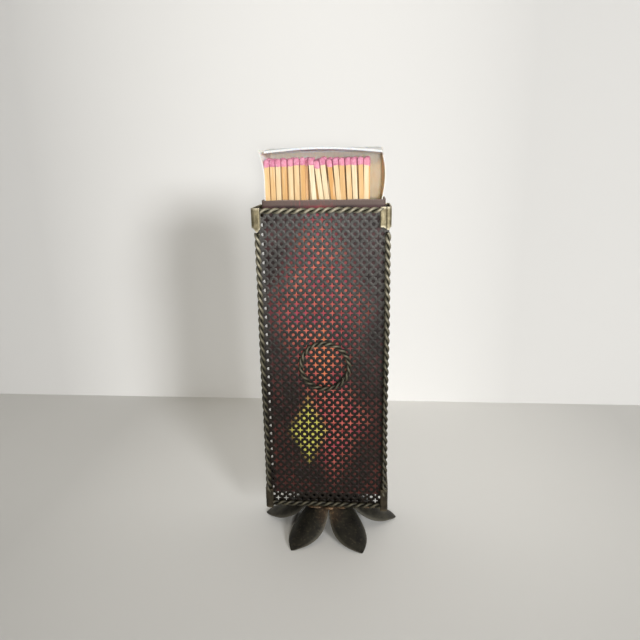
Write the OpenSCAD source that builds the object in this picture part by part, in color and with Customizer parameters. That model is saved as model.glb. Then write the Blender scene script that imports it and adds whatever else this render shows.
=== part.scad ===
// Table holder for a box of long matches, with the matchbox standing in it.
// Two pierced panels edged with twisted wire are held apart by four corner straps
// and stand on a foot of six leaves. The sleeve lifts out, and the tray slides in it.
// Millimetres, +Z up, the front faces -Y, the origin is on the table under the hub.

/* [Holder] */
// Sideways place of the holder and the box over the foot
holder_x = -1.2; // [-3:0.1:3]
// Width over the corner straps
holder_w = 57; // [50:0.5:70]
// Height of the straps' lower edge over the table
holder_low = 10.8; // [9:0.1:14]
// Height of the straps' upper edge over the table
holder_high = 149.5; // [120:0.5:180]
// Half of the room between the two panels
panel_in = 8.7; // [7:0.05:12]
// Thickness of the panels' sheet
panel_t = 0.4; // [0.3:0.05:1]
// Half of a panel's width
panel_half_w = 27.2; // [24:0.1:32]
// Lower edge of the panels
panel_low = 12.9; // [11:0.1:16]
// Upper edge of the panels
panel_high = 149; // [120:0.5:180]

/* [Pierced pattern] */
// Columns of round holes
hole_cols = 14; // [6:1:18]
// Rows of round holes, with as many rows of stars below them
hole_rows = 34; // [10:1:40]
// Distance between columns
pitch_x = 3.8; // [3:0.05:5]
// Distance between rows
pitch_z = 3.933; // [3:0.001:5]
// Height of the top row of round holes
top_hole_z = 146.5; // [100:0.1:170]
// Radius of a round hole
hole_r = 0.6; // [0.4:0.05:1]
// Reach of a star's four points
star_tip = 1.4; // [0.9:0.01:1.5]
// Place of a star's four inner corners, on both axes
star_waist = 0.3; // [0.2:0.05:0.6]

/* [Twisted wire] */
// Radius of the edging, over both strands
edging_r = 1.3; // [0.8:0.05:2]
// Length of one full twist of the edging
edging_twist = 7.3; // [4:0.1:10]
// Middle of the two upright edgings, from the centre
edging_x = 26.75; // [24:0.05:32]
// Height of the middle of the top edging
edging_high = 148.3; // [120:0.1:180]
// Height of the middle of the bottom edging
edging_low = 13.1; // [11:0.1:18]
// Outer radius of the ring on the front
ring_r = 11.6; // [8:0.1:15]
// Radius of the ring's wire
ring_wire_r = 1.15; // [0.8:0.05:2]
// Full twists round the ring
ring_twists = 10; // [6:1:14]
// Place of the ring's middle
ring_x = 0.3; // [-5:0.1:5]
ring_z = 81.4; // [40:0.1:120]

/* [Corner straps] */
// Height of a strap
strap_h = 8; // [5:0.5:14]
// Thickness of a strap
strap_t = 0.5; // [0.3:0.05:1]
// Outer face of a strap's front and back legs, from the middle
strap_y = 11.2; // [10:0.1:14]
// Inner end of the legs, from the centre
strap_leg_x = 25; // [22:0.1:27]
// Length of the tongue under each top leg
tongue_h = 2.2; // [1:0.1:4]

/* [Leaf foot] */
// Number of leaves
leaf_count = 6; // [5:1:8]
// Reach of a leaf's point from the centre
leaf_reach = 31.9; // [26:0.1:38]
// Distance from the centre to a leaf's widest place
leaf_wide_at = 18; // [14:0.5:22]
// Half of a leaf's greatest width
leaf_half_w = 7.6; // [6:0.1:9]
// Thickness of the leaves' sheet
leaf_t = 0.7; // [0.4:0.05:1.2]
// Radius of the arch across a leaf
leaf_arch = 11; // [9:0.5:20]
// Height at which the lines of the leaves' ridges meet over the centre
ridge_high = 17.95; // [14:0.1:22]
// Fall of the ridges, in height for each millimetre outwards
ridge_fall = 0.552; // [0.4:0.001:0.7]
// Radius of the hub's shank
hub_r = 3.1; // [2:0.1:4]
// Top of the hub, where the closed tray stands
hub_high = 17.45; // [16:0.05:20]

/* [Matchbox] */
// Outer width of the sleeve
sleeve_w = 49.4; // [44:0.1:54]
// Outer depth of the sleeve
sleeve_d = 17.2; // [14:0.1:20]
// Length of the sleeve and of the tray
box_l = 135.5; // [100:0.5:160]
// Thickness of the card
card = 0.45; // [0.3:0.05:0.8]
// Height of the sleeve's lower end
sleeve_z = 17.5; // [16:0.1:22]
// Sideways place of the box in the holder
box_x = 0.5; // [-1.5:0.1:1.5]
// How far the tray stands out of the sleeve
tray_out = 20; // [0:0.5:40]
// Free room between the tray and the sleeve, on each side
tray_play = 0.2; // [0.1:0.05:0.5]

/* [Matches] */
// Thickness of a match
stick = 2.15; // [1.8:0.05:2.4]
// Length of a match with its head
match_l = 131; // [90:0.5:140]
// Width of a head
head_w = 2.36; // [2.2:0.05:2.5]
// Length of a head
head_h = 3.2; // [2:0.1:4]
// Distance between matches in a row
match_pitch = 2.5; // [2.42:0.01:2.8]
// Distance between rows
row_pitch = 2.45; // [2.42:0.01:2.8]
// Matches in each row
row_matches = 17; // [10:1:18]
// How far the leaning matches' feet stand to the right of their heads
lean = 4; // [0:0.1:4.5]

/* [Hidden] */
$fn = 72;

panel_out = panel_in + panel_t;
edging_y = panel_out + edging_r;
side_x = holder_w / 2;
wire_colour = [0.45, 0.41, 0.3];
metal_colour = [0.3, 0.29, 0.27];
leaf_colour = [0.22, 0.22, 0.22];

// Pierced panels

// A four-pointed star with narrow arms
module star_hole()
    polygon([for (q = [0:3]) each [
        [star_tip * cos(90 * q), star_tip * sin(90 * q)],
        [star_waist * (cos(90 * q) - sin(90 * q)), star_waist * (sin(90 * q) + cos(90 * q))]
    ]]);

module pierced_sheet()
    difference() {
        translate([-panel_half_w, panel_low])
            square([2 * panel_half_w, panel_high - panel_low]);
        for (i = [0:hole_cols - 1], j = [0:hole_rows - 1])
            translate([(i - (hole_cols - 1) / 2) * pitch_x, top_hole_z - j * pitch_z])
                circle(r = hole_r);
        for (i = [0:hole_cols - 2], j = [0:hole_rows - 1])
            translate([(i - (hole_cols - 2) / 2) * pitch_x, top_hole_z - (j + 0.5) * pitch_z])
                star_hole();
    }

// y is the panel's face that looks at the back
module panel(y)
    color(metal_colour)
        translate([0, y, 0]) rotate([90, 0, 0])
            linear_extrude(panel_t) pierced_sheet();

module front_panel() panel(-panel_in);

module back_panel() panel(panel_out);

// Twisted wire

// A body through rings of five points, closed on itself or with flat ends
module skin(rings, closed) {
    sides = len(rings[0]);
    count = len(rings);
    points = [for (ring = rings) each ring];
    walls = [for (i = [0:count - (closed ? 1 : 2)], k = [0:sides - 1]) let (
        p = i * sides + k,
        q = i * sides + (k + 1) % sides,
        s = (i + 1) % count * sides + k,
        t = (i + 1) % count * sides + (k + 1) % sides
    ) each [[p, q, t], [p, t, s]]];
    ends = closed ? [] : [
        [for (k = [sides - 1:-1:0]) k],
        [for (k = [0:sides - 1]) (count - 1) * sides + k]
    ];
    polyhedron(points, concat(walls, ends));
}

// A strand takes this share of its wire's radius, and coils in the rest
strand_share = 0.548;

// One corner of a strand's section, seen along the wire
function strand_point(wire_r, turn, k) = let (r = wire_r * strand_share, c = wire_r - r, b = turn + 72 * k)
    [c * cos(turn) + r * cos(b), c * sin(turn) + r * sin(b)];

// Two strands wound round the Z axis
module twisted(length, turn = 0) {
    steps = round(5 * length / edging_twist);
    for (side = [0, 180])
        skin([for (i = [0:steps]) [for (k = [0:4])
            let (p = strand_point(edging_r, side + turn + 360 * i / steps * length / edging_twist, k))
                [p[0], -p[1], length * i / steps]]], false);
}

// A level edging between the legs of the straps, on the face that side (-1 front, 1 back) looks to
module level_edging(side, z)
    color(wire_colour)
        translate([-strap_leg_x, side * edging_y, z]) rotate([0, 90, 0])
            twisted(2 * strap_leg_x);

// An upright edging between a bottom strap and a top strap's tongue
module upright_edging(side, x) {
    low = holder_low + strap_h;
    high = holder_high - strap_h - tongue_h;
    color(wire_colour)
        translate([x, side * edging_y, low]) twisted(high - low, turn = 90);
}

module front_top_wire() level_edging(-1, edging_high);

module front_bottom_wire() level_edging(-1, edging_low);

module front_left_wire() upright_edging(-1, -edging_x);

module front_right_wire() upright_edging(-1, edging_x);

module back_top_wire() level_edging(1, edging_high);

module back_bottom_wire() level_edging(1, edging_low);

module back_left_wire() upright_edging(1, -edging_x);

module back_right_wire() upright_edging(1, edging_x);

// Two strands coiled along a circle, each closed on itself
module front_ring() {
    steps = 6 * ring_twists;
    color(wire_colour)
        translate([ring_x, -panel_out - ring_wire_r, ring_z])
            for (side = [0, 180])
                skin([for (i = [0:steps - 1]) [for (k = [0:4]) let (
                    a = 360 * i / steps,
                    p = strand_point(ring_wire_r, side + ring_twists * a, k),
                    r = ring_r - ring_wire_r + p[0]
                ) [r * cos(a), p[1], r * sin(a)]]], true);
}

// Corner straps

// The strap of the right side from above: a band bent round the side, its ends turned in to the panels
module strap_band() {
    bend = 1.6;
    for (y = [-strap_y, panel_out])
        translate([strap_leg_x, y]) square([strap_t, strap_y - panel_out]);
    difference() {
        outer_band(bend, 0);
        outer_band(bend - strap_t, strap_t);
        translate([-1, -strap_y]) square([strap_leg_x + 1, 2 * strap_y]);
    }
}

// The band's outline, moved in by inset, with rounded corners on the side
module outer_band(bend, inset) {
    x = side_x - inset;
    y = strap_y - inset;
    for (side = [-1, 1])
        translate([x - bend, side * (y - bend)]) circle(r = bend);
    translate([0, -y]) square([x - bend, 2 * y]);
    translate([0, bend - y]) square([x, 2 * (y - bend)]);
}

// A tapering tongue that follows the edging down from a top leg
module tongue_outline()
    polygon([
        [strap_leg_x, holder_high - strap_h + 0.01],
        [side_x, holder_high - strap_h + 0.01],
        [side_x - 0.8, holder_high - strap_h - tongue_h],
        [strap_leg_x + 0.9, holder_high - strap_h - tongue_h]
    ]);

module top_strap() {
    translate([0, 0, holder_high - strap_h]) linear_extrude(strap_h) strap_band();
    intersection() {
        for (side = [-1, 1])
            translate([0, side * (strap_y - strap_t / 2), 0])
                rotate([90, 0, 0]) linear_extrude(strap_t, center = true) tongue_outline();
        translate([0, -strap_y, 0]) cube([side_x - 0.4, 2 * strap_y, holder_high]);
    }
}

module bottom_strap()
    translate([0, 0, holder_low]) linear_extrude(strap_h) strap_band();

module top_right_strap() color(wire_colour) top_strap();

module top_left_strap() color(wire_colour) mirror([1, 0, 0]) top_strap();

module bottom_right_strap() color(wire_colour) bottom_strap();

module bottom_left_strap() color(wire_colour) mirror([1, 0, 0]) bottom_strap();

// Leaf foot

// A leaf from above: two arcs that meet in a point, trimmed to its share of the circle
module leaf_outline() {
    run = leaf_reach - leaf_wide_at;
    arc_r = (run * run + leaf_half_w * leaf_half_w) / (2 * leaf_half_w);
    share = 180 / leaf_count;
    seam = 0.08;
    intersection() {
        translate([leaf_wide_at, leaf_half_w - arc_r]) circle(r = arc_r, $fn = 120);
        translate([leaf_wide_at, arc_r - leaf_half_w]) circle(r = arc_r, $fn = 120);
        polygon([[seam, 0], [40, 40 * tan(share) - seam], [40, seam - 40 * tan(share)]]);
        difference() {
            circle(r = leaf_reach - 0.15, $fn = 120);
            circle(r = hub_r + 0.05);
        }
    }
}

// The arched sheet that a leaf is cut from, its ridge falling outwards
module leaf_sheet()
    translate([0, 0, ridge_high]) rotate([0, atan(ridge_fall), 0])
        translate([-10, 0, -leaf_arch]) rotate([0, 90, 0])
            difference() {
                cylinder(r = leaf_arch, h = 60, $fn = 120);
                translate([0, 0, -1]) cylinder(r = leaf_arch - leaf_t, h = 62, $fn = 120);
            }

module leaf(angle)
    color(leaf_colour)
        rotate([0, 0, angle])
            intersection() {
                linear_extrude(ridge_high) leaf_outline();
                leaf_sheet();
            }

module leaf_right() leaf(0);

module leaf_back_right() leaf(60);

module leaf_back_left() leaf(120);

module leaf_left() leaf(180);

module leaf_front_left() leaf(240);

module leaf_front_right() leaf(300);

// Height of the leaves' ridges at a distance from the centre
function ridge_z(r) = ridge_high - ridge_fall * r;

// The hub clamps the leaves' inner ends between a domed head and a peened tail
module hub()
    color(metal_colour)
        rotate_extrude()
            polygon([
                [0, 12.6], [3.6, 12.6], [3.9, 13.1], [hub_r, 13.6], [hub_r, ridge_z(hub_r) + 0.02],
                [5.4, ridge_z(5.4) + 0.02], [5.4, ridge_z(5.4) + 0.5], [4.8, 16.3], [3.7, 17.05], [2.4, hub_high], [0, hub_high]
            ]);

// Solder between the bottom edgings and the four leaves that they cross
module solder_pads()
    color([0.5, 0.36, 0.22])
        difference() {
            for (angle = [60, 120, 240, 300])
                translate([edging_y / tan(angle) * (angle < 180 ? 1 : -1), edging_y * (angle < 180 ? 1 : -1), 10.6])
                    cylinder(r = 1.6, h = edging_low - edging_r - 10.6, $fn = 24);
            for (angle = [60, 120, 240, 300])
                rotate([0, 0, angle]) translate([0, 0, ridge_high + 0.01]) rotate([0, atan(ridge_fall), 0])
                    translate([0, 0, -leaf_arch]) rotate([0, 90, 0]) cylinder(r = leaf_arch, h = 60, $fn = 120);
        }

// Matchbox

module box_outline(w, d, r)
    translate([box_x, 0]) {
        square([w - 2 * r, d], center = true);
        square([w, d - 2 * r], center = true);
        for (x = [-1, 1], y = [-1, 1])
            translate([x * (w / 2 - r), y * (d / 2 - r)]) circle(r = r, $fn = 24);
    }

module sleeve()
    color([0.24, 0.18, 0.2])
        translate([0, 0, sleeve_z]) linear_extrude(box_l)
            difference() {
                box_outline(sleeve_w, sleeve_d, 0.7);
                box_outline(sleeve_w - 2 * card, sleeve_d - 2 * card, 0.25);
            }

// The rough strip for striking on each narrow side of the sleeve
module striker(side)
    color([0.2, 0.17, 0.17])
        translate([box_x + side * (sleeve_w + 0.2) / 2, 0, sleeve_z + box_l / 2])
            cube([0.2, sleeve_d - 3, box_l - 3], center = true);

module left_striker() striker(-1);

module right_striker() striker(1);

tray_w = sleeve_w - 2 * card - 2 * tray_play;
tray_d = sleeve_d - 2 * card - 2 * tray_play;
tray_z = sleeve_z + tray_out;

// Folded card: a back board, two sides, two ends, and the ends' flaps folded over the board
module tray() {
    flap = 5;
    color([0.93, 0.92, 0.88])
        translate([box_x - tray_w / 2, -tray_d / 2, tray_z]) {
            difference() {
                cube([tray_w, tray_d, box_l]);
                translate([card, -1, card]) cube([tray_w - 2 * card, tray_d - card + 1, box_l - 2 * card]);
            }
            for (z = [card - 0.01, box_l - card - flap + 0.01])
                translate([card - 0.01, tray_d - 2 * card, z])
                    cube([tray_w - 2 * card + 0.02, card + 0.01, flap]);
        }
}

// Matches

row_y = -tray_d / 2 + 0.25 + head_w / 2;
first_x = box_x - tray_w / 2 + card + head_w / 2 + 0.15;

// Small differences of height between matches, the same each time
function step_z(row, i) = 0.35 * sin(97 * i + 61 * row);

// Whether a match of the front row leans
function leans(row, i) = row == 1 && i > 7;

// Moves its children to one match's foot, and leans them as that match leans
module at_match(row, i)
    translate([
        first_x + match_pitch * i + (leans(row, i) ? lean : 0) + 0.02 * sin(143 * i + 29 * row),
        row_y + row_pitch * (row - 1),
        tray_z + card + 0.4 + step_z(row, i)
    ])
        rotate([0, leans(row, i) ? -atan(lean / match_l) : 0, 0])
            children();

module sticks(row)
    color([0.93, 0.8, 0.56])
        for (i = [0:row_matches - 1])
            at_match(row, i)
                translate([-stick / 2, -stick / 2, 0]) cube([stick, stick, match_l - head_h]);

// A head is a dipped bulb, flat where the stick enters it
module heads(row)
    color([0.8, 0.35, 0.55])
        for (i = [0:row_matches - 1])
            at_match(row, i)
                translate([0, 0, match_l - head_h]) rotate_extrude($fn = 24) match_head_profile();

module match_head_profile()
    intersection() {
        union() {
            translate([0, head_h - head_w / 2]) circle(r = head_w / 2, $fn = 24);
            translate([0, 0.5]) square([head_w / 2, head_h - head_w / 2 - 0.5]);
            polygon([[0, 0], [head_w / 2 - 0.15, 0], [head_w / 2, 0.51], [0, 0.51]]);
        }
        square([head_w, head_h + 1]);
    }

module sticks_row_1() sticks(1);

module sticks_row_2() sticks(2);

module sticks_row_3() sticks(3);

module sticks_row_4() sticks(4);

module sticks_row_5() sticks(5);

module sticks_row_6() sticks(6);

module heads_row_1() heads(1);

module heads_row_2() heads(2);

module heads_row_3() heads(3);

module heads_row_4() heads(4);

module heads_row_5() heads(5);

module heads_row_6() heads(6);

leaf_right();
leaf_back_right();
leaf_back_left();
leaf_left();
leaf_front_left();
leaf_front_right();
hub();
solder_pads();

translate([holder_x, 0, 0]) {
    front_panel();
    back_panel();
    front_top_wire();
    front_bottom_wire();
    front_left_wire();
    front_right_wire();
    back_top_wire();
    back_bottom_wire();
    back_left_wire();
    back_right_wire();
    front_ring();
    top_left_strap();
    top_right_strap();
    bottom_left_strap();
    bottom_right_strap();
    sleeve();
    left_striker();
    right_striker();
    tray();
    sticks_row_1();
    sticks_row_2();
    sticks_row_3();
    sticks_row_4();
    sticks_row_5();
    sticks_row_6();
    heads_row_1();
    heads_row_2();
    heads_row_3();
    heads_row_4();
    heads_row_5();
    heads_row_6();
}
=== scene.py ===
import math
import random

import bmesh
import bpy
from mathutils import Matrix, Vector, noise


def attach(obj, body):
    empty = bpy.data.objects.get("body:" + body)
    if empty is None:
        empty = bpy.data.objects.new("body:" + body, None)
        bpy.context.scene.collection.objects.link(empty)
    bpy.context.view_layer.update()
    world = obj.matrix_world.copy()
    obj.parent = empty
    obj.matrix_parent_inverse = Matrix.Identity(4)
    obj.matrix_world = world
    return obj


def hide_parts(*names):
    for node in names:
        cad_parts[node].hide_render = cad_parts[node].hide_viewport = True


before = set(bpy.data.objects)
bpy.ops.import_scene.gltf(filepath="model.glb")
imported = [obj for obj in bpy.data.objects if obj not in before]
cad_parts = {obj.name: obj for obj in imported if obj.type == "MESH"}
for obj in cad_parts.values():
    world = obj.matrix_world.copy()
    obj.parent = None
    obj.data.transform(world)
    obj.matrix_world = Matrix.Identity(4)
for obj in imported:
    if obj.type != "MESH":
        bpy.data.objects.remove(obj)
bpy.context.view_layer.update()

# A millimetre in metres, and a metre in millimetres
MM = 0.001
METRE = 1000.0

# Sizes repeated from the part's source, in millimetres; x is measured from the holder's middle
FOOT_X = 1.2
HOLDER_X = 28.5
HOLDER_LOW = 10.8
HOLDER_HIGH = 149.5
PANEL_HALF_W = 27.2
PANEL_LOW = 12.9
PANEL_HIGH = 149.0
PANEL_OUT = 9.1
PANEL_T = 0.4
HOLE_COLUMNS = 14
HOLE_ROWS = 34
PITCH_X = 3.8
PITCH_Z = 3.933
TOP_HOLE_Z = 146.5
EDGING_R = 1.3
EDGING_X = 26.75
EDGING_Y = PANEL_OUT + EDGING_R
EDGING_LOW = 13.1
EDGING_HIGH = 148.3
EDGING_TWIST = 7.3
RING_R = 11.6
RING_WIRE_R = 1.15
RING_TWISTS = 10
RING_AT = Vector((0.3, -PANEL_OUT - RING_WIRE_R, 81.4))
STRAP_H = 8.0
STRAP_T = 0.5
STRAP_Y = 11.2
STRAP_LEG_X = 25.0
TONGUE_H = 2.2
LEAF_REACH = 31.75
LEAF_WIDE_AT = 18.0
LEAF_HALF_W = 7.6
LEAF_T = 0.7
LEAF_ARCH = 11.0
RIDGE_HIGH = 17.95
RIDGE_FALL = 0.552
HUB_R = 3.15
BOX_X = 0.5
BOX_L = 135.5
SLEEVE_LOW = 17.5
SLEEVE_TOP = 153.0
SLEEVE_W = 49.4
SLEEVE_D = 17.2
CARD = 0.45
TRAY_W = 48.1
TRAY_D = 15.9
TRAY_Z = 37.5
STICK = 2.15
MATCH_L = 131.0
HEAD_W = 2.36
MATCH_PITCH = 2.5
ROW_PITCH = 2.45
ROWS = 6
ROW_MATCHES = 17
FIRST_X = BOX_X - TRAY_W / 2 + CARD + HEAD_W / 2 + 0.15
ROW_Y = -TRAY_D / 2 + 0.25 + HEAD_W / 2
TRAY_LEFT = BOX_X - TRAY_W / 2
TRAY_RIGHT = BOX_X + TRAY_W / 2
TRAY_HIGH = TRAY_Z + BOX_L


class Signal:
    """A shader output on which arithmetic adds Math nodes."""

    def __init__(self, look, socket):
        self.look = look
        self.socket = socket

    def maths(self, operation, *values):
        """A Math node on the given values."""
        return self.look.node("Math", {"operation": operation}, dict(enumerate(values)))

    def __add__(self, other):
        return self.maths("ADD", self, other)

    def __radd__(self, other):
        return self.maths("ADD", other, self)

    def __sub__(self, other):
        return self.maths("SUBTRACT", self, other)

    def __rsub__(self, other):
        return self.maths("SUBTRACT", other, self)

    def __mul__(self, other):
        return self.maths("MULTIPLY", self, other)

    def __rmul__(self, other):
        return self.maths("MULTIPLY", other, self)

    def __truediv__(self, other):
        return self.maths("DIVIDE", self, other)

    def __abs__(self):
        return self.maths("ABSOLUTE", self)

    def rise(self, low, high):
        """0 at low, 1 at high and smooth between them."""
        sockets = {"Value": self, "From Min": low, "From Max": high}
        return self.look.node("MapRange", {"interpolation_type": "SMOOTHSTEP"}, sockets)


class Look:
    """A material in the making."""

    def __init__(self, name, **constants):
        self.material = bpy.data.materials.new(name)
        self.material.use_nodes = True
        self.tree = self.material.node_tree
        self.shader = self.tree.nodes["Principled BSDF"]
        for key, value in constants.items():
            self.shader.inputs[key.replace("_", " ")].default_value = value

    def put(self, socket, value):
        """Gives a socket a link, a colour or a number."""
        if isinstance(value, Signal):
            self.tree.links.new(value.socket, socket)
        elif isinstance(value, tuple) and len(value) == 3 and socket.type == "RGBA":
            socket.default_value = (*value, 1.0)
        else:
            socket.default_value = value

    def node(self, kind, settings=None, sockets=None, out=0):
        """Adds a node with its settings, which go first, and the values or links of its sockets."""
        made = self.tree.nodes.new("ShaderNode" + kind)
        for key, value in (settings or {}).items():
            setattr(made, key, value)
        for key, value in (sockets or {}).items():
            self.put(made.inputs[key], value)
        return Signal(self, made.outputs[out])

    def place(self):
        """The place on the object, in metres from the foot's middle."""
        return self.node("TexCoord", out="Object")

    def axes(self):
        """X from the holder's middle, Y and Z, in millimetres."""
        split = self.node("SeparateXYZ", sockets={0: self.place()})
        x, y, z = (Signal(self, out) * METRE for out in split.socket.node.outputs)
        return x + FOOT_X, y, z

    def noise(self, size, detail=3.0, stretch=(1.0, 1.0, 1.0)):
        """Noise whose features are about size millimetres across, longer along a stretched axis."""
        scale = tuple(METRE / size / s for s in stretch)
        spot = self.node("Mapping", sockets={"Vector": self.place(), "Scale": scale})
        sockets = {"Vector": spot, "Scale": 1.0, "Detail": detail, "Roughness": 0.55}
        return self.node("TexNoise", sockets=sockets)

    def trait(self, name):
        """A value that the mesh carries at its points."""
        return self.node("Attribute", {"attribute_name": name}, out="Fac")

    def mix(self, amount, low, high):
        """The low colour where amount is 0 and the high one where it is 1."""
        return self.node("Mix", {"data_type": "RGBA"}, {0: amount, 6: low, 7: high}, out=2)

    def finish(self, colour, roughness, height=None, depth=0.0, strength=0.6):
        """Joins the varying channels; depth is the bump's height in millimetres."""
        self.put(self.shader.inputs["Base Color"], colour)
        self.put(self.shader.inputs["Roughness"], roughness)
        if height is not None:
            sockets = {"Height": height, "Distance": depth * MM, "Strength": strength}
            self.put(self.shader.inputs["Normal"], self.node("Bump", sockets=sockets))
        return self.material


def pierced_patina():
    """The panels: brown-black patina, greyer near the top, where the paler colour is a painted reflection of
    the bright room.
    """
    look = Look("pierced_patina", Metallic=0.35, Specular_IOR_Level=0.3)
    _, _, z = look.axes()
    ridge = look.trait("ridge")
    # Painted reflection: the sheet is made paler towards the top, where it reflects the bright room
    high = z.rise(55.0, 160.0)
    blotch = look.noise(9.0, 4).rise(0.35, 0.68)
    speck = look.noise(0.7, 3).rise(0.42, 0.66)
    deep = look.mix(high, (0.006, 0.004, 0.003), (0.058, 0.056, 0.054))
    # The ridges' bare metal; the painted reflection makes it paler towards the top
    worn = look.mix(high, (0.024, 0.017, 0.011), (0.126, 0.122, 0.115))
    colour = look.mix(ridge.rise(0.0, 0.9) * (0.15 + 0.85 * speck) * (0.4 + 0.6 * blotch), deep, worn)
    return look.finish(colour, 0.36 + 0.3 * look.noise(1.6, 2), look.noise(0.8, 3), 0.12)


def wire_patina():
    """Twisted wire: olive black in the grooves, brass rubbed bare on the crests, most of all at the top."""
    look = Look("wire_patina", Metallic=0.5)
    _, _, z = look.axes()
    crest = look.trait("crest")
    high = z.rise(60.0, 150.0)
    cloud = look.noise(2.6, 3).rise(0.3, 0.7)
    olive = look.mix(cloud, (0.095, 0.088, 0.058), (0.220, 0.206, 0.150))
    brown = look.mix(cloud, (0.016, 0.014, 0.009), (0.048, 0.043, 0.027))
    base = look.mix(crest.rise(0.0, 0.45), (0.014, 0.013, 0.009), look.mix(high, brown, olive))
    rubbed = (crest + 0.5 * look.noise(1.5, 3)).rise(0.85, 1.35)
    bare = look.mix(high, (0.17, 0.15, 0.095), (0.46, 0.42, 0.32))
    colour = look.mix(rubbed * (0.35 + 0.5 * high), base, bare)
    return look.finish(colour, 0.42 + 0.24 * look.noise(0.9, 2), look.noise(0.6, 3), 0.06)


def strap_patina():
    """Bent straps: olive brass with a painted highlight along their rims and folds, fine scratches, browner
    at the bottom.
    """
    look = Look("strap_patina", Metallic=0.6)
    _, _, z = look.axes()
    # edge marks the rims and folds, where a pale painted highlight stands for light caught by rounded edges
    edge = look.trait("edge")
    high = z.rise(20.0, 140.0)
    cloud = look.noise(2.6, 4).rise(0.3, 0.7)
    olive = look.mix(cloud, (0.120, 0.098, 0.052), (0.285, 0.245, 0.150))
    brown = look.mix(cloud, (0.015, 0.012, 0.007), (0.044, 0.034, 0.020))
    scratch = look.noise(0.5, 2, (0.3, 0.3, 4.0)).rise(0.6, 0.72)
    colour = look.mix(high, brown, look.mix(0.6 * scratch, olive, (0.46, 0.41, 0.28)))
    # The painted highlight's colour, paler towards the top
    bare = look.mix(high, (0.10, 0.08, 0.05), (0.58, 0.52, 0.38))
    colour = look.mix(edge * 0.85, colour, bare)
    return look.finish(colour, 0.34 + 0.26 * look.noise(1.3, 2), look.noise(1.2, 3), 0.08)


def leaf_patina():
    """The foot: near-black leaves, paler to the left and right, with a worn rim and copper at the solder."""
    look = Look("leaf_patina", Metallic=0.45)
    edge = look.trait("edge")
    copper = look.trait("copper")
    cloud = look.noise(4.0, 5).rise(0.32, 0.68)
    fleck = look.noise(1.1, 4).rise(0.5, 0.72)
    x, _, _ = look.axes()
    spread = abs(x - FOOT_X).rise(12.0, 26.0)
    dark = look.mix(cloud, (0.005, 0.004, 0.003), (0.018, 0.016, 0.010))
    pale = look.mix(cloud, (0.022, 0.020, 0.015), (0.064, 0.060, 0.045))
    colour = look.mix(spread, dark, pale)
    colour = look.mix(0.5 * fleck, colour, (0.062, 0.052, 0.032))
    colour = look.mix(copper * (0.35 + 0.65 * fleck), colour, (0.15, 0.090, 0.046))
    colour = look.mix(0.6 * edge, colour, (0.150, 0.140, 0.110))
    return look.finish(colour, 0.42 + 0.3 * look.noise(2.0, 4), look.noise(1.8, 5), 0.25)


def copper_solder():
    """Solder: dull brown lumps with copper colour on them."""
    look = Look("copper_solder", Metallic=0.6)
    colour = look.mix(look.noise(1.4, 4).rise(0.35, 0.7), (0.035, 0.024, 0.014), (0.175, 0.105, 0.055))
    return look.finish(colour, 0.4 + 0.3 * look.noise(1.0, 2), look.noise(0.8, 3), 0.15)


def printed_card():
    """The sleeve: a print of soft-edged lozenges on dark plum, and a scuffed bare strip at the open end."""
    look = Look("printed_card", Specular_IOR_Level=0.2)
    x, y, z = look.axes()
    x = x - BOX_X
    front = 1 - y.rise(-8.3, -7.5)
    grain = look.noise(0.45, 3)

    def lozenge(at_x, at_z, half_w, half_h, soft):
        """1 inside a lozenge on the front, fading to 0 over its soft outer part."""
        reach = abs(x - at_x) / half_w + abs(z - at_z) / half_h
        return (1 - reach.rise(1 - soft, 1.0)) * front

    plum = look.mix(z.rise(40.0, 120.0), (0.072, 0.016, 0.012), (0.075, 0.034, 0.036))
    plum = look.mix(look.noise(6.0, 3).rise(0.3, 0.7), (0.014, 0.008, 0.008), plum)
    red = look.mix(look.noise(7.0, 3).rise(0.35, 0.65), (0.34, 0.050, 0.075), (0.56, 0.145, 0.095))
    red = look.mix(look.noise(3.5, 2).rise(0.5, 0.72), red, (0.20, 0.026, 0.030))
    colour = look.mix(lozenge(-2.0, 106.0, 27.0, 66.0, 0.6), plum, red)
    colour = look.mix(lozenge(3.0, 56.0, 22.0, 40.0, 0.7), colour, red)
    colour = look.mix(lozenge(-1.0, 86.0, 8.0, 20.0, 0.5), colour, (0.60, 0.17, 0.080))
    colour = look.mix(lozenge(-8.0, 50.0, 11.0, 20.0, 0.5), colour, (0.46, 0.43, 0.085))
    middle = 1 - (abs(x + 4.0) * 0.08).rise(0.3, 1.0)
    scuff = look.noise(2.2, 4, (0.4, 1.0, 3.0)).rise(0.5, 0.68) * middle
    bare = look.mix(grain, (0.085, 0.056, 0.050), (0.170, 0.122, 0.106))
    bare = look.mix(scuff, bare, (0.24, 0.085, 0.085))
    colour = look.mix(z.rise(149.6, 150.8), colour, bare)
    colour = look.mix((z + 1.5 * grain).rise(152.7, 153.5), colour, (0.30, 0.23, 0.19))
    return look.finish(colour, 0.38 + 0.25 * grain, look.noise(0.8, 4), 0.03)


def striking_strip():
    """The striking strips: dull brown grit in small raised dots."""
    look = Look("striking_strip")
    dots = look.noise(0.5, 2).rise(0.4, 0.6)
    colour = look.mix(dots, (0.030, 0.018, 0.015), (0.085, 0.050, 0.042))
    return look.finish(colour, 0.85 + 0.1 * dots, dots, 0.08)


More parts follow.
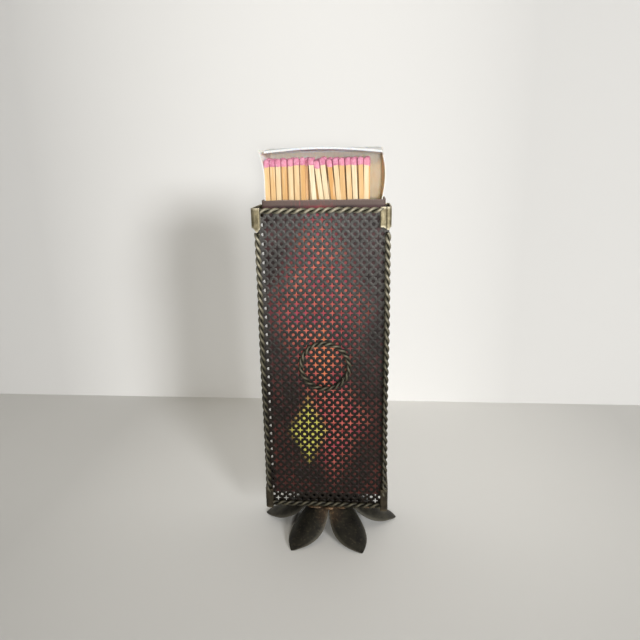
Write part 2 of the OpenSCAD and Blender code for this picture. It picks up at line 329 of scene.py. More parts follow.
def tray_card():
    """Thin folding card that light shines through: white, with fine fibres along the box, and a fawn on its
    inner faces that is painted shade and warm light bounced from the matches.
    """
    glow = {"Subsurface_Weight": 0.85, "Subsurface_Scale": 0.8 * MM, "Subsurface_Radius": (1.0, 0.8, 0.62)}
    look = Look("tray_card", **glow)
    # inside is the share of fawn painted shade and bounce light that a face gets
    inside = look.trait("inside")
    fibre = look.noise(0.9, 4, (1.0, 1.0, 3.0)).rise(0.3, 0.7)
    white = look.mix(fibre, (0.88, 0.86, 0.83), (0.94, 0.93, 0.91))
    fawn = look.mix(fibre, (0.90, 0.76, 0.61), (0.95, 0.84, 0.71))
    return look.finish(look.mix(inside, white, fawn), 0.72 + 0.1 * fibre, look.noise(0.5, 4), 0.025)


def match_wood():
    """Sawn match wood: a tint for each stick, and darker and paler streaks along the grain."""
    look = Look("match_wood")
    grain = look.noise(0.45, 4, (1.0, 1.0, 22.0))
    streak = look.noise(0.9, 3, (1.0, 1.0, 14.0)).rise(0.5, 0.7)
    colour = look.mix(look.trait("tint"), (0.84, 0.62, 0.33), (0.70, 0.36, 0.11))
    colour = look.mix(look.trait("pale"), colour, (0.90, 0.78, 0.55))
    colour = look.mix(0.5 * grain.rise(0.35, 0.8), colour, (0.60, 0.34, 0.13))
    colour = look.mix(0.35 * streak, colour, (0.93, 0.82, 0.58))
    return look.finish(colour, 0.6 + 0.2 * grain, grain, 0.05)


def match_heads():
    """Match heads: dry pink compound, powdery, some heads a little more purple than others."""
    look = Look("match_heads")
    cloud = look.noise(1.0, 4)
    colour = look.mix(look.trait("tint"), (0.74, 0.27, 0.38), (0.60, 0.19, 0.31))
    colour = look.mix(0.6 * cloud.rise(0.4, 0.7), colour, (0.86, 0.46, 0.60))
    return look.finish(colour, 0.75 + 0.15 * cloud, look.noise(0.45, 4), 0.1, 0.8)


# Making and placing meshes

def points_of(geometry):
    """The points among what an operator made."""
    return [part for part in geometry if isinstance(part, bmesh.types.BMVert)]


def edges_among(points):
    """The edges that join the given points to each other."""
    chosen = set(points)
    near = {e for v in points for e in v.link_edges}
    return [e for e in near if e.verts[0] in chosen and e.verts[1] in chosen]


def upright_edges(bm):
    """The edges that climb more than a millimetre."""
    return [e for e in bm.edges if abs(e.verts[0].co.z - e.verts[1].co.z) > 1]


def level_edges(bm, least):
    """The other edges, where they are longer than the least length."""
    upright = set(upright_edges(bm))
    return [e for e in bm.edges if e not in upright and e.calc_length() > least]


def raise_wall(bm, plan, low, height, closed=False):
    """A wall one face thick, standing on a line of points in plan."""
    foot = [bm.verts.new((x, y, low)) for x, y in plan]
    nexts = foot[1:] + foot[:1] if closed else foot[1:]
    line = [bm.edges.new(pair) for pair in zip(foot, nexts)]
    raised = points_of(bmesh.ops.extrude_edge_only(bm, edges=line)["geom"])
    bmesh.ops.translate(bm, vec=(0, 0, height), verts=raised)


def round_off(bm, edges, offset, segments):
    """Bevels edges into round corners."""
    bmesh.ops.bevel(
        bm, geom=edges, offset=offset, segments=segments, profile=0.5, affect="EDGES",
        offset_type="OFFSET", material=-1,
    )


def mark(bm, trait, value_of, points=None):
    """Gives points a value of a trait that a material reads."""
    layer = bm.verts.layers.float.get(trait) or bm.verts.layers.float.new(trait)
    for v in bm.verts if points is None else points:
        v[layer] = value_of(v)


def add_piece(name, bm, look, body, replaced, crease=40):
    """Makes a finished bmesh a piece in metres, about the foot's middle, that stands for CAD nodes."""
    bmesh.ops.translate(bm, vec=(-FOOT_X, 0, 0), verts=bm.verts)
    bmesh.ops.scale(bm, vec=(MM, MM, MM), verts=bm.verts)
    mesh = bpy.data.meshes.new(name)
    bm.to_mesh(mesh)
    bm.free()
    mesh.shade_smooth()
    mesh.set_sharp_from_angle(angle=math.radians(crease))
    mesh.materials.append(look)
    made = bpy.data.objects.new(name, mesh)
    bpy.context.scene.collection.objects.link(made)
    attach(made, body)
    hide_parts(*replaced)


# Pierced panels

TILE_POINTS = 16
HOLE_R = 0.66
# A quarter of the star's outline, from its point to the last place before the next point
STAR_QUARTER = ((1.5, 0.0), (0.92, 0.18), (0.34, 0.34), (0.18, 0.92))
# How near the shoulder lies to the hole, the dish's depth at both, and how much wider the hole is at the back
SHOULDER = 0.72
SHOULDER_DROP = 0.02
HOLE_DROP = 0.12
BACK_FLARE = 1.12


def diamond(k):
    """Point k on the diamond of sheet that belongs to one hole."""
    q, part = divmod(k, 4)
    u, w = 1 - part / 4, part / 4
    for _ in range(q):
        u, w = -w, u
    return u * PITCH_X / 2, w * PITCH_Z / 2


def round_hole(k):
    """Point k on a round hole's edge."""
    angle = math.tau * k / TILE_POINTS
    return HOLE_R * math.cos(angle), HOLE_R * math.sin(angle)


def star_hole(k):
    """Point k on a star's edge."""
    q, part = divmod(k, 4)
    x, y = STAR_QUARTER[part]
    for _ in range(q):
        x, y = -y, x
    return x, y


def ring(bm, filled=False):
    """A circle whose points carry their number round it; what is extruded from it keeps the numbers."""
    number = bm.verts.layers.int["number"]
    points = bmesh.ops.create_circle(bm, cap_ends=filled, segments=TILE_POINTS, radius=1)["verts"]
    for v in points:
        v[number] = round(math.atan2(v.co.y, v.co.x) / math.tau * TILE_POINTS) % TILE_POINTS
    return points


def lay(bm, points, outline, depth):
    """Moves a ring's points to an outline."""
    number = bm.verts.layers.int["number"]
    for v in points:
        v.co = (*outline(v[number]), depth)


def pierced_tile(bm, hole):
    """One diamond of sheet: flat at its border, dished to the hole, then the hole's wall and the back."""

    def shoulder(k):
        return tuple(SHOULDER * a + (1 - SHOULDER) * b for a, b in zip(hole(k), diamond(k)))

    def back_hole(k):
        return tuple(BACK_FLARE * a for a in hole(k))

    points = ring(bm)
    lay(bm, points, diamond, 0)
    mark(bm, "ridge", lambda v: 1.0, points)
    tile = list(points)
    for outline, depth, ridge in (
        (shoulder, -SHOULDER_DROP, 0.85),
        (hole, -HOLE_DROP, 0.0),
        (back_hole, -PANEL_T, 0.0),
        (diamond, -PANEL_T, 0.0),
    ):
        raised = bmesh.ops.extrude_edge_only(bm, edges=edges_among(points))
        points = points_of(raised["geom"])
        lay(bm, points, outline, depth)
        mark(bm, "ridge", lambda v: ridge, points)
        tile += points
    return tile


def plain_tile(bm):
    """A diamond of sheet without a hole, for the border."""
    tile = []
    for depth in (0, -PANEL_T):
        points = ring(bm, filled=True)
        lay(bm, points, diamond, depth)
        mark(bm, "ridge", lambda v: 1.0, points)
        tile += points
    return tile


def whole(points):
    """Points with the edges and faces that join them."""
    edges = {e for v in points for e in v.link_edges}
    faces = {f for v in points for f in v.link_faces}
    return points + list(edges) + list(faces)


def repeat(bm, points, count, step):
    """Copies points' geometry until there are count of it, each a step further."""
    source = whole(points)
    every = list(points)
    for i in range(1, count):
        copied = points_of(bmesh.ops.duplicate(bm, geom=source)["geom"])
        bmesh.ops.translate(bm, vec=Vector(step) * i, verts=copied)
        every += copied
    return every


def lattice(bm, tile, x, z, columns, rows):
    """Repeats a tile over columns and rows from its first place."""
    bmesh.ops.translate(bm, vec=(x, z, 0), verts=tile)
    row = repeat(bm, tile, columns, (PITCH_X, 0, 0))
    repeat(bm, row, rows, (0, -PITCH_Z, 0))


def pierced_panel(name, turn, look):
    """A panel modelled flat, then stood up; its holes are dished towards the matchbox."""
    bm = bmesh.new()
    bm.verts.layers.float.new("ridge")
    bm.verts.layers.int.new("number")
    first_x = -(HOLE_COLUMNS - 1) / 2 * PITCH_X
    star_x, star_z = first_x + PITCH_X / 2, TOP_HOLE_Z - PITCH_Z / 2
    lattice(bm, pierced_tile(bm, round_hole), first_x, TOP_HOLE_Z, HOLE_COLUMNS, HOLE_ROWS)
    lattice(bm, pierced_tile(bm, star_hole), star_x, star_z, HOLE_COLUMNS - 1, HOLE_ROWS)
    for side in (-1, 1):
        lattice(bm, plain_tile(bm), side * (first_x - PITCH_X), TOP_HOLE_Z + PITCH_Z, 1, HOLE_ROWS + 2)
        lattice(bm, plain_tile(bm), side * (star_x - PITCH_X), star_z, 1, HOLE_ROWS)
    lattice(bm, plain_tile(bm), star_x - PITCH_X, star_z + PITCH_Z, HOLE_COLUMNS + 1, 1)
    lattice(bm, plain_tile(bm), first_x, TOP_HOLE_Z + PITCH_Z, HOLE_COLUMNS, 1)
    lattice(bm, plain_tile(bm), first_x, TOP_HOLE_Z - HOLE_ROWS * PITCH_Z, HOLE_COLUMNS, 1)
    bm.verts.layers.int.remove(bm.verts.layers.int["number"])
    bmesh.ops.remove_doubles(bm, verts=bm.verts, dist=0.02)
    for spot, outwards in (
        ((PANEL_HALF_W, 0, 0), (1, 0, 0)),
        ((-PANEL_HALF_W, 0, 0), (-1, 0, 0)),
        ((0, PANEL_HIGH, 0), (0, 1, 0)),
        ((0, PANEL_LOW, 0), (0, -1, 0)),
    ):
        sheet = bm.verts[:] + bm.edges[:] + bm.faces[:]
        bmesh.ops.bisect_plane(bm, geom=sheet, plane_co=spot, plane_no=outwards, clear_outer=True)
    bmesh.ops.bridge_loops(bm, edges=[e for e in bm.edges if e.is_boundary])
    bmesh.ops.recalc_face_normals(bm, faces=bm.faces)
    upright = Matrix.Translation((0, -PANEL_OUT, 0)) @ Matrix.Rotation(math.radians(90), 4, "X")
    bmesh.ops.transform(bm, matrix=Matrix.Rotation(turn, 4, "Z") @ upright, verts=bm.verts)
    add_piece(name + "_pierced", bm, look, "holder", [name], 50)


# Twisted wire

# A strand's radius as a share of the wire's, the points round a strand, and the steps that model one turn
STRAND_SHARE = 0.53
STRAND_POINTS = 10
STEPS_A_TURN = 16
# How far an edging wanders sideways, and how unevenly it is twisted
WANDER = 0.14
UNEVEN_TWIST = 0.25


def twisted_wire(length, wire_r, turns, phase=0.0, ends=True):
    """Two strands wound left-handed about +Z, each a circle spun along its own climbing path."""
    bm = bmesh.new()
    strand_r = wire_r * STRAND_SHARE
    coil_r = wire_r - strand_r
    slope = math.atan2(math.tau * coil_r * turns, length)
    steps = round(turns * STEPS_A_TURN)
    for start in (phase, phase + math.pi):
        tilt = Matrix.Translation((coil_r, 0, 0)) @ Matrix.Rotation(slope, 4, "X")
        place = Matrix.Rotation(start, 4, "Z") @ tilt
        section = bmesh.ops.create_circle(bm, segments=STRAND_POINTS, radius=strand_r, matrix=place)["verts"]
        bmesh.ops.spin(
            bm, geom=section + edges_among(section), cent=(0, 0, 0), axis=(0, 0, 1),
            dvec=(0, 0, length / steps), angle=-math.tau * turns, steps=steps, use_merge=False,
        )
    mark(bm, "crest", lambda v: max(0.0, (math.hypot(v.co.x, v.co.y) / wire_r - 0.4) / 0.6))
    if ends:
        bmesh.ops.holes_fill(bm, edges=[e for e in bm.edges if e.is_boundary], sides=0)
    bmesh.ops.recalc_face_normals(bm, faces=bm.faces)
    return bm


def edging(name, start, length, level, look, seed):
    """A straight edging, a little wavy where it isn't held, lying on the outside of a panel."""
    phase = random.Random(seed).uniform(0, math.tau)
    bm = twisted_wire(length, EDGING_R, length / EDGING_TWIST, phase)
    for v in bm.verts:
        along = v.co.z / length
        v.co.x += WANDER * math.sin(math.pi * along) * math.sin(9 * along + phase)
        v.co.z += UNEVEN_TWIST * math.sin(math.pi * along) * math.sin(23 * along + 2 * phase)
    if level:
        lying = Matrix.Rotation(math.radians(90), 3, "Y")
        bmesh.ops.rotate(bm, cent=(0, 0, 0), matrix=lying, verts=bm.verts)
    bmesh.ops.translate(bm, vec=start, verts=bm.verts)
    add_piece(name + "_strands", bm, look, "holder", [name])


def front_ring(look):
    """The ring: a straight twisted wire bent round until its ends meet."""
    middle_r = RING_R - RING_WIRE_R
    bm = twisted_wire(math.tau * middle_r, RING_WIRE_R, RING_TWISTS, 0.4, ends=False)
    for v in bm.verts:
        angle = v.co.z / middle_r
        reach = (middle_r + v.co.x) * (1 + 0.006 * math.sin(3 * angle + 1))
        v.co = RING_AT + Vector((reach * math.cos(angle), v.co.y, reach * math.sin(angle)))
    bmesh.ops.remove_doubles(bm, verts=bm.verts, dist=0.01)
    bmesh.ops.recalc_face_normals(bm, faces=bm.faces)
    add_piece("front_ring_strands", bm, look, "holder", ["front_ring"])


# Corner straps

# Radii of the bends at the strap's side and at its ends, and how deep the dents in it are
SIDE_BEND = 1.5
END_BEND = 0.35
DENT = 0.12
# Half the width of the tongue over the edging, and the depth and half width of the groove beside it
TONGUE_HALF_W = 1.6
GROOVE_DEPTH = 0.35
GROOVE_HALF_W = 0.5


def strap(
    name, side, low, look, seed,
    outer_x=HOLDER_X, leg_x=STRAP_LEG_X, tongue=0.0, groove=None, height=STRAP_H,
):
    """A strap bent round one side of the holder, its ends turned in to the panels.

    A tongue is its length down over the edging, and a groove is where it lies.
    """
    bm = bmesh.new()
    half_plan = ((leg_x, PANEL_OUT), (leg_x, STRAP_Y), (outer_x, STRAP_Y))
    plan = half_plan + tuple((x, -y) for x, y in reversed(half_plan))
    raise_wall(bm, plan, low, height)
    for x, offset, segments in ((outer_x, SIDE_BEND, 6), (leg_x, END_BEND, 3)):
        folds = [e for e in upright_edges(bm) if len(e.link_faces) == 2]
        round_off(bm, [e for e in folds if abs(e.verts[0].co.x - x) < 0.01], offset, segments)
    bmesh.ops.subdivide_edges(bm, edges=level_edges(bm, 1.3), cuts=6, use_grid_fill=True)
    bmesh.ops.subdivide_edges(bm, edges=upright_edges(bm), cuts=7, use_grid_fill=True)
    # The rims and the legs' folds get the material's painted highlight
    mark(bm, "edge", lambda v: 1.0 if v.is_boundary or abs(v.co.x - leg_x) < 0.12 else 0.0)
    for v in bm.verts:
        t = (v.co.z - low) / height
        dent = abs(DENT * noise.noise(Vector((v.co.x * 0.7, v.co.y * 0.35, v.co.z * 0.5 + seed))))
        if abs(v.co.y) > STRAP_Y - 0.3 and v.co.x < outer_x - 0.4:
            v.co.z -= tongue * (1 - t) * max(0.0, 1 - abs(v.co.x - EDGING_X) / TONGUE_HALF_W)
            if groove and v.co.y < 0:
                v.co.y += GROOVE_DEPTH * max(0.0, 1 - abs(v.co.x - groove) / GROOVE_HALF_W)
            v.co.y -= math.copysign(dent, v.co.y)
        elif v.co.x > outer_x - 0.4:
            v.co.x -= dent
        v.co.z += DENT * (2 * t - 1) * noise.noise(Vector((v.co.x * 0.5, v.co.y * 0.4, seed)))
    bm.normal_update()
    bmesh.ops.solidify(bm, geom=bm.faces[:], thickness=STRAP_T)
    bmesh.ops.scale(bm, vec=(side, 1, 1), verts=bm.verts)
    bmesh.ops.recalc_face_normals(bm, faces=bm.faces)
    add_piece(name + "_band", bm, look, "holder", [name], 45)


# Leaf foot

# The cosine of a leaf's slope, the height of its lumps, and the share of its thickness left
LEAF_SLOPE = 0.875
LEAF_LUMP = 0.16
LEAF_WORN = 0.9
# The middle of the copper-coloured spot on the leaves, and its radius
COPPER_AT = Vector((1.5, -12.5))
COPPER_REACH = 7.0


def leaf_half_width(u):
    """Half of a leaf's width at a distance from the foot's middle."""
    run = LEAF_REACH + 0.15 - LEAF_WIDE_AT
    arc = (run * run + LEAF_HALF_W * LEAF_HALF_W) / (2 * LEAF_HALF_W)
    lens = math.sqrt(max(arc * arc - (u - LEAF_WIDE_AT) ** 2, 0.0)) - (arc - LEAF_HALF_W)
    return max(min(lens, (u - 0.15) * math.tan(math.radians(30))), 0.25)


def leaf(name, angle, look, seed):
    """A leaf: a grid drawn to the outline, arched across, with a worn rim and small dents."""
    bm = bmesh.new()
    bmesh.ops.create_grid(bm, x_segments=40, y_segments=18, size=1)
    turn = Matrix.Rotation(math.radians(angle), 3, "Z")
    mark(bm, "edge", lambda v: max(0.0, abs(v.co.y) - 0.8) * 5 if v.co.x > -0.55 else 0.0)
    for v in bm.verts:
        along = (v.co.x + 1) / 2
        u = HUB_R + (LEAF_REACH - HUB_R) * (1 - (1 - along) ** 1.35)
        across = math.copysign(abs(v.co.y) ** 0.8, v.co.y) * leaf_half_width(u)
        drop = (LEAF_ARCH - math.sqrt(LEAF_ARCH ** 2 - across ** 2)) / LEAF_SLOPE
        lump = LEAF_LUMP * noise.noise(Vector((u * 0.16 + seed, across * 0.22, seed * 1.7)))
        z = RIDGE_HIGH - RIDGE_FALL * u - drop - 0.1 + lump
        v.co = turn @ Vector((u, across, z)) + Vector((FOOT_X, 0, 0))
    mark(bm, "copper", lambda v: max(0.0, 1 - (v.co.xy - COPPER_AT).length / COPPER_REACH))
    bm.normal_update()
    bmesh.ops.solidify(bm, geom=bm.faces[:], thickness=LEAF_T * LEAF_WORN)
    for v in bm.verts:
        v.co.z = max(v.co.z, 0.0)
    bmesh.ops.recalc_face_normals(bm, faces=bm.faces)
    add_piece(name + "_pressed", bm, look, "holder", [name], 50)


def solder_runs(look):
    """Lumps of solder along the bottom edgings, where the leaves cross them: middle and half size."""
    bm = bmesh.new()
    spots = (
        ((1.6, -10.9, 11.5), (3.0, 1.2, 0.7)),
        ((-5.0, -10.6, 11.8), (3.0, 1.1, 0.6)),
        ((7.4, -10.6, 11.8), (2.2, 1.0, 0.6)),
        ((19.0, -10.4, 12.4), (3.6, 0.9, 0.6)),
        ((1.2, 10.9, 11.5), (3.0, 1.2, 0.7)),
        ((-4.8, 10.6, 11.8), (2.4, 1.1, 0.7)),
        ((7.2, 10.6, 11.8), (2.4, 1.1, 0.7)),
    )
    for seed, (middle, half_size) in enumerate(spots):
        drop = bmesh.ops.create_icosphere(bm, subdivisions=3, radius=1)["verts"]
        for v in drop:
            swell = 1 + 0.3 * noise.noise(v.co * 1.7 + Vector((seed * 5.0, 0, 0)))
            v.co = Vector(middle) + v.co * Vector(half_size) * swell
    add_piece("solder_runs", bm, look, "holder", ["solder_pads"])


# Sleeve

# The corners' radius, how far the broad faces sink in the middle, and how much is worn off above and below
SLEEVE_ROUND = 0.5
SLEEVE_HOLLOW = 0.12
TOP_WEAR = 0.55
LOW_WEAR = 0.6


def sleeve(look):
    """The sleeve: a tube of card, a little hollow on its broad faces and worn at its ends."""
    bm = bmesh.new()
    right, left = BOX_X + SLEEVE_W / 2, BOX_X - SLEEVE_W / 2
    front, back = -SLEEVE_D / 2, SLEEVE_D / 2
    plan = ((right, front), (right, back), (left, back), (left, front))
    raise_wall(bm, plan, SLEEVE_LOW, SLEEVE_TOP - SLEEVE_LOW, closed=True)
    round_off(bm, upright_edges(bm), SLEEVE_ROUND, 3)
    bmesh.ops.subdivide_edges(bm, edges=level_edges(bm, 5), cuts=15, use_grid_fill=True)
    bmesh.ops.subdivide_edges(bm, edges=upright_edges(bm), cuts=30, use_grid_fill=True)
    for v in bm.verts:
        x = v.co.x - BOX_X
        if abs(v.co.y) > SLEEVE_D / 2 - 0.01:
            v.co.y -= math.copysign(SLEEVE_HOLLOW * math.cos(math.pi * x / SLEEVE_W), v.co.y)
        wear = 0.3 * noise.noise(Vector((v.co.x * 0.16, v.co.y * 0.2, 4.0)))
        if v.co.z > SLEEVE_TOP - 0.1:
            v.co.z -= TOP_WEAR + wear
        elif v.co.z < SLEEVE_LOW + 0.1:
            v.co.z += LOW_WEAR + wear
    bm.normal_update()
    bmesh.ops.solidify(bm, geom=bm.faces[:], thickness=CARD)
    bmesh.ops.recalc_face_normals(bm, faces=bm.faces)
    add_piece("sleeve_tube", bm, look, "sleeve", ["sleeve"], 45)


# Tray

# How far the left corner and the right wall have sprung out, and how far both walls slope down at the end
CORNER_FLARE = 2.2
WALL_BELLY = 1.1
LEFT_FALL = 0.9
RIGHT_FALL = 3.2
# The folded end: its fold's upper edge, how far that bows up, the fold's thickness, and the flap's two edges
FOLD_HIGH = 171.2
FOLD_BOW = 1.75
FOLD_THICK = 1.0
FLAP_LOW = 166.0
FLAP_HIGH = 171.8
# The card at the folded end is pressed thinner
FOLDED_CARD = 0.25
# The gaps before the fold and behind the flap, and how much narrower the flap is at its lower edge
FOLD_GAP = 0.35
FLAP_TAPER = 1.4


def board(bm, cuts, place, thickness, inside):
    """A bent board of card: a grid laid by place(s, t), thickened to one side."""
    grid = bmesh.ops.create_grid(bm, x_segments=cuts[0], y_segments=cuts[1], size=1)["verts"]
    faces = list({f for v in grid for f in v.link_faces})
    for v in grid:
        v.co = place((v.co.x + 1) / 2, (v.co.y + 1) / 2)
    bm.normal_update()
    before = set(bm.verts)
    bmesh.ops.solidify(bm, geom=faces, thickness=thickness)
    # The new side gets its share, inside, of the fawn painted shade and bounce light
    mark(bm, "inside", lambda v: inside, [v for v in bm.verts if v not in before])


def free_part(z):
    """0 inside the sleeve and 1 at the tray's open end."""
    return max(0.0, (z - SLEEVE_TOP) / (TRAY_HIGH - SLEEVE_TOP))


def side_height(t):
    """Heights up a side wall, closer together above the sleeve."""
    if t < 0.3:
        return TRAY_Z + (SLEEVE_TOP - TRAY_Z) * t / 0.3
    return SLEEVE_TOP + (TRAY_HIGH - SLEEVE_TOP) * (t - 0.3) / 0.7


def left_wall(s, t):
    """The left wall's corner has sprung open."""
    z = side_height(t)
    flare = CORNER_FLARE * max(0.0, (free_part(z) - 0.45) / 0.55) ** 1.8 * (1 - s) ** 1.6
    return Vector((TRAY_LEFT - flare, -TRAY_D / 2 + TRAY_D * s, z - LEFT_FALL * free_part(z)))


def right_wall(s, t):
    """The right wall bellies out between the sleeve and the end."""
    z = side_height(t)
    belly = WALL_BELLY * max(0.0, math.sin(math.pi * free_part(z))) ** 0.9 * (1 - s) ** 1.3
    fall = RIGHT_FALL * free_part(z) ** 2 * (1 - s)
    return Vector((TRAY_RIGHT + belly, -TRAY_D / 2 + TRAY_D * s, z - fall - 0.3 * free_part(z)))


def back_wall(s, t):
    """The tray's flat back, a hair inside its side walls."""
    return Vector((TRAY_LEFT + 0.02 + (TRAY_W - 0.04) * s, TRAY_D / 2, TRAY_Z + (BOX_L - 0.3) * t))


def low_end(s, t):
    """The end that closes the tray below."""
    return Vector((TRAY_LEFT + CARD + (TRAY_W - 2 * CARD) * s, -TRAY_D / 2 + (TRAY_D - CARD) * t, TRAY_Z))


def folded_end(s, t):
    """The open end: up the flap on the back, forward, round the bowed fold, and back on top."""
    bow = math.sin(math.pi * min(1.0, s * 0.9 + 0.08))
    upper = FOLD_HIGH + FOLD_BOW * bow
    lower = upper - FOLD_THICK
    middle, half = (upper + lower) / 2, (upper - lower) / 2
    flap_y = TRAY_D / 2 - CARD - FOLD_GAP
    front_y = -TRAY_D / 2 + FOLD_GAP
    back_y = TRAY_D / 2 - 0.05
    x = TRAY_LEFT + CARD + (TRAY_W - 2 * CARD) * s
    if t < 0.2:
        f = t / 0.2
        return Vector((x + (0.5 - s) * FLAP_TAPER * (1 - f), flap_y, FLAP_LOW + (FLAP_HIGH - FLAP_LOW) * f))
    if t < 0.45:
        f = (t - 0.2) / 0.25
        return Vector((x, flap_y + (front_y - flap_y) * f, FLAP_HIGH + (lower - FLAP_HIGH) * f))
    if t < 0.6:
        turn = math.pi * (t - 0.45) / 0.15
        return Vector((x, front_y - FOLD_GAP * math.sin(turn), middle - half * math.cos(turn)))
    f = (t - 0.6) / 0.4
    return Vector((x, front_y + (back_y - front_y) * f, upper + (TRAY_HIGH - 0.05 - upper) * f))


def tray(look):
    """The tray of folded card, open to the front, with its boards sprung by handling."""
    bm = bmesh.new()
    bm.verts.layers.float.new("inside")
    # Shares of the painted fawn shade: the left wall's inner face is lit and gets little, the right wall and
    # the back lie in shade
    board(bm, (10, 40), left_wall, -CARD, inside=0.35)
    board(bm, (10, 40), right_wall, CARD, inside=1.0)
    board(bm, (12, 20), back_wall, -CARD, inside=1.0)
    board(bm, (8, 6), low_end, -CARD, inside=0.6)
    before = set(bm.verts)
    board(bm, (40, 60), folded_end, FOLDED_CARD, inside=0.8)
    folded = [v for v in bm.verts if v not in before]
    # The flap under the fold lies in shade and gets all of the painted shade
    flap = [v for v in folded if v.co.z < FLAP_HIGH - 0.8 and v.co.y > TRAY_D / 2 - 1.4]
    mark(bm, "inside", lambda v: 1.0, flap)
    bmesh.ops.recalc_face_normals(bm, faces=bm.faces)
    add_piece("tray_folded", bm, look, "tray", ["tray"], 38)


# Matches

# Where matches start to bend to their feet, inside the sleeve, and how much of them shows above it
EASE_HIGH = 146.0
SHOWN_L = 14.2
# How far under its head's top a stick ends, and how much of its corners is broken off
TIP_DEPTH = 1.2
BROKEN_CORNER = 0.14
# Below this depth under its top a head's rim is uneven, by this much
RIM_DEPTH = 2.5
RIM_UNEVEN = 0.12
# The front matches from this one on stand this much further right at their feet
PARTED_FROM = 8
PARTED_BY = 4
# From left to right, where the front matches' heads stand, how much further right their sticks are at the
# sleeve's mouth, and how much lower than the longest match their tops are
FRONT_HEADS = (
    -22.3, -20.0, -17.65, -15.2, -12.65, -10.15, -7.8, -4.45, -2.25,
    0.1, 2.85, 5.4, 7.9, 10.4, 12.7, 15.4, 17.8,
)
FRONT_SHIFT = (0.15, 0.1, 0.0, 0.1, 0.1, 0.05, 0.2, 1.0, 1.8, 1.6, 1.6, 1.25, 0.7, 0.75, 0.7, 0.45, 0.0)
FRONT_DROP = (0.9, 0.8, 0.7, 0.8, 0.6, 0.3, 0.2, 0.4, 1.6, 0.4, 1.1, 0.5, 0.6, 0.5, 0.5, 0.4, 0.6)
# Tints of the front matches, 0 for straw and 1 for orange, and how pale they are
FRONT_TINT = (0.25, 0.45, 0.1, 0.7, 0.15, 0.35, 0.75, 0.0, 0.05, 0.1, 0.95, 0.1, 0.5, 0.45, 0.05, 0.5, 0.1)
FRONT_PALE = (0, 0, 0.4, 0, 0.3, 0.2, 0, 1, 0.6, 0.7, 0, 0.4, 0, 0.1, 0.8, 0, 0.6)
# A head's outline: the share of its half width at each depth under its top
HEAD_PROFILE = (
    (0.0, 0.0), (0.5, 0.12), (0.85, 0.5), (0.98, 1.1), (1.0, 2.0), (0.98, 2.8), (0.9, 3.1), (0.0, 3.15),
)


def match_line(row, i):
    """A match's foot, its place at the sleeve's mouth and its top, as x and z, with its depth."""
    rng = random.Random(100 * row + i)
    x = FIRST_X + MATCH_PITCH * i
    y = ROW_Y + ROW_PITCH * (row - 1) + rng.uniform(-0.04, 0.04)
    low = TRAY_Z + CARD + 0.4
    high = low + MATCH_L
    if row == 1:
        foot_x = x + (PARTED_BY if i >= PARTED_FROM else 0)
        return foot_x, low, FRONT_HEADS[i] + FRONT_SHIFT[i], FRONT_HEADS[i], high - FRONT_DROP[i], y
    drop = rng.uniform(0.1, 1.4)
    return x, low, x + rng.uniform(-0.05, 0.1), x + rng.uniform(-0.1, 0.1), high - drop, y


def warp(points, row, i):
    """Bends upright points to a match's line: straight where it shows, eased to its foot inside the box."""
    foot_x, low, mouth_x, head_x, top, y = match_line(row, i)
    slope = (mouth_x - head_x) / SHOWN_L
    run = EASE_HIGH - low
    ease_x = head_x + slope * (top - EASE_HIGH)
    for v in points:
        if v.co.z >= EASE_HIGH:
            shift = head_x + slope * (top - v.co.z)
        else:
            t = max(0.0, (v.co.z - low) / run)
            ease = 3 * t ** 2 - 2 * t ** 3
            shift = foot_x + (ease_x - foot_x) * ease - slope * run * (t ** 3 - t ** 2)
        v.co.x += shift
        v.co.y += y


def stick(bm, row, i):
    """A sawn stick with broken corners, from the tray's floor into the head."""
    rng = random.Random(57 * row + 7 * i)
    _, low, _, _, top, _ = match_line(row, i)
    half = STICK / 2 * rng.uniform(0.90, 0.95)
    high = top - TIP_DEPTH
    bmesh.ops.create_cube(bm, size=1)
    bmesh.ops.scale(bm, vec=(2 * half, 2 * half, high - low), verts=bm.verts)
    bmesh.ops.translate(bm, vec=(0, 0, (high + low) / 2), verts=bm.verts)
    round_off(bm, upright_edges(bm), BROKEN_CORNER, 1)
    if row == 1:
        bmesh.ops.subdivide_edges(bm, edges=upright_edges(bm), cuts=14)
    turn = Matrix.Rotation(math.radians(rng.uniform(-4, 4)), 3, "Z")
    bmesh.ops.rotate(bm, cent=(0, 0, 0), matrix=turn, verts=bm.verts)


def head(bm, row, i):
    """A dipped head: a profile spun round the match, squared to cover the stick, then made uneven."""
    rng = random.Random(31 * row + 11 * i)
    _, _, _, _, top, _ = match_line(row, i)
    size = HEAD_W / 2 * rng.uniform(0.98, 1.03)
    line = [bm.verts.new((share * size, 0, top - depth)) for share, depth in HEAD_PROFILE]
    edges = [bm.edges.new(pair) for pair in zip(line, line[1:])]
    bmesh.ops.spin(
        bm, geom=line + edges, cent=(0, 0, 0), axis=(0, 0, 1), angle=math.tau, steps=12, use_merge=True,
    )
    bmesh.ops.remove_doubles(bm, verts=bm.verts, dist=0.001)
    turn = Matrix.Rotation(math.radians(15), 3, "Z")
    bmesh.ops.rotate(bm, cent=(0, 0, 0), matrix=turn, verts=bm.verts)
    for v in bm.verts:
        depth = top - v.co.z
        angle = math.atan2(v.co.y, v.co.x)
        square = (abs(math.cos(angle)) ** 5 + abs(math.sin(angle)) ** 5) ** -0.2
        lump = square + 0.05 * noise.noise(Vector((v.co.x * 1.1 + 3 * i, v.co.y * 1.1, depth * 0.9 + row)))
        v.co.x *= lump
        v.co.y *= lump
        if depth > RIM_DEPTH:
            v.co.z += RIM_UNEVEN * math.sin(3 * i + 2 * v.co.x + v.co.y)


